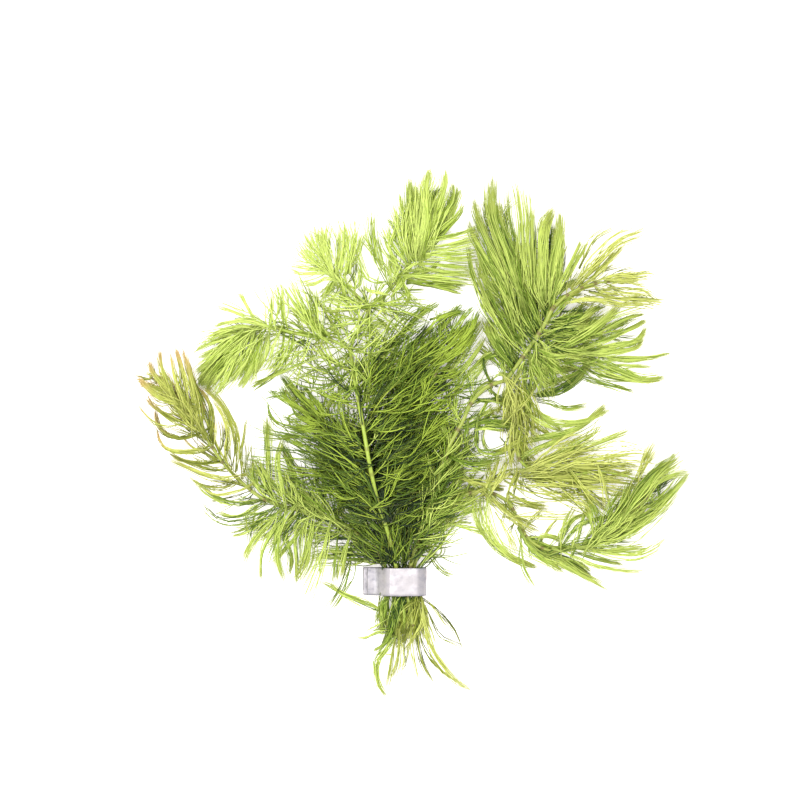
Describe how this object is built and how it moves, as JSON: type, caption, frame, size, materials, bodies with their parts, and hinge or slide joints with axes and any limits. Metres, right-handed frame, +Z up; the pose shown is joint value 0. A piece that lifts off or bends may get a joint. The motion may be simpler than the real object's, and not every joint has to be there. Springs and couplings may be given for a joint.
{
  "type": "tied bunch of hornwort",
  "caption": "Tied bunch of hornwort cuttings lying flat: forked stems with feathery plumes of hair-fine leaves, gathered near the cut ends by a folded lead strip.",
  "frame": {"origin": "centre of the lead strip's flat underside, on the surface that the bunch lies on", "axes": "+Z up from the surface, +Y along the bunch from the strip towards the leafy tips, +X to the right seen from above"},
  "size_m": [0.2403, 0.2283, 0.028],
  "materials": {
    "lead": "soft pale grey lead, mottled and scuffed",
    "stem": "smooth wet green plant stem",
    "leaf_bright": "wet yellow-green hair-fine leaves",
    "leaf_mid": "wet mid green hair-fine leaves",
    "leaf_dark": "wet dark green hair-fine leaves",
    "leaf_olive": "wet olive leaves with pinkish tips"
  },
  "bodies": {
    "root": {"lead_strip": "lead", "stem_left": "stem", "stem_left_tip": "stem", "stem_inner_left": "stem", "stem_inner_right": "stem", "stem_lower_right": "stem", "stem_lower_right_tip": "stem", "stem_centre": "stem", "branch_drooping": "stem", "branch_top": "stem", "branch_top_left": "stem", "branch_top_middle": "stem", "stem_right": "stem", "stem_right_upper": "stem", "branch_right_tip": "stem", "branch_right_fan": "stem", "branch_right_fan_small": "stem", "branch_right_side": "stem", "branch_hanging": "stem", "branch_hanging_band": "stem", "leaves_centre_low": "leaf_dark", "leaves_centre_high": "leaf_mid", "leaves_inner_left": "leaf_dark", "leaves_inner_left_tip": "leaf_mid", "leaves_inner_right_low": "leaf_dark", "leaves_inner_right_high": "leaf_dark", "leaves_inner_right_tip": "leaf_dark", "leaves_left_root": "leaf_mid", "leaves_left_lower": "leaf_mid", "leaves_left_bend": "leaf_olive", "leaves_left_tip": "leaf_olive", "leaves_drooping": "leaf_bright", "leaves_drooping_tip": "leaf_bright", "leaves_fork": "leaf_bright", "leaves_top_left": "leaf_bright", "leaves_top_middle": "leaf_bright", "leaves_top_middle_tip": "leaf_bright", "leaves_right_low": "leaf_mid", "leaves_right_curtain": "leaf_mid", "leaves_right_fork": "leaf_mid", "leaves_right_middle": "leaf_mid", "leaves_right_fan": "leaf_mid", "leaves_right_fan_small": "leaf_mid", "leaves_right_tip": "leaf_bright", "leaves_right_side": "leaf_mid", "leaves_hanging": "leaf_bright", "leaves_hanging_reach": "leaf_mid", "leaves_hanging_band": "leaf_bright", "leaves_lower_right_root": "leaf_mid", "leaves_lower_right_bend": "leaf_bright", "leaves_lower_right_arc": "leaf_mid", "leaves_lower_right_turn": "leaf_mid", "leaves_lower_right_tip": "leaf_mid", "leaves_tail_left": "leaf_dark", "leaves_tail_right": "leaf_bright"}
  },
  "joints": []
}
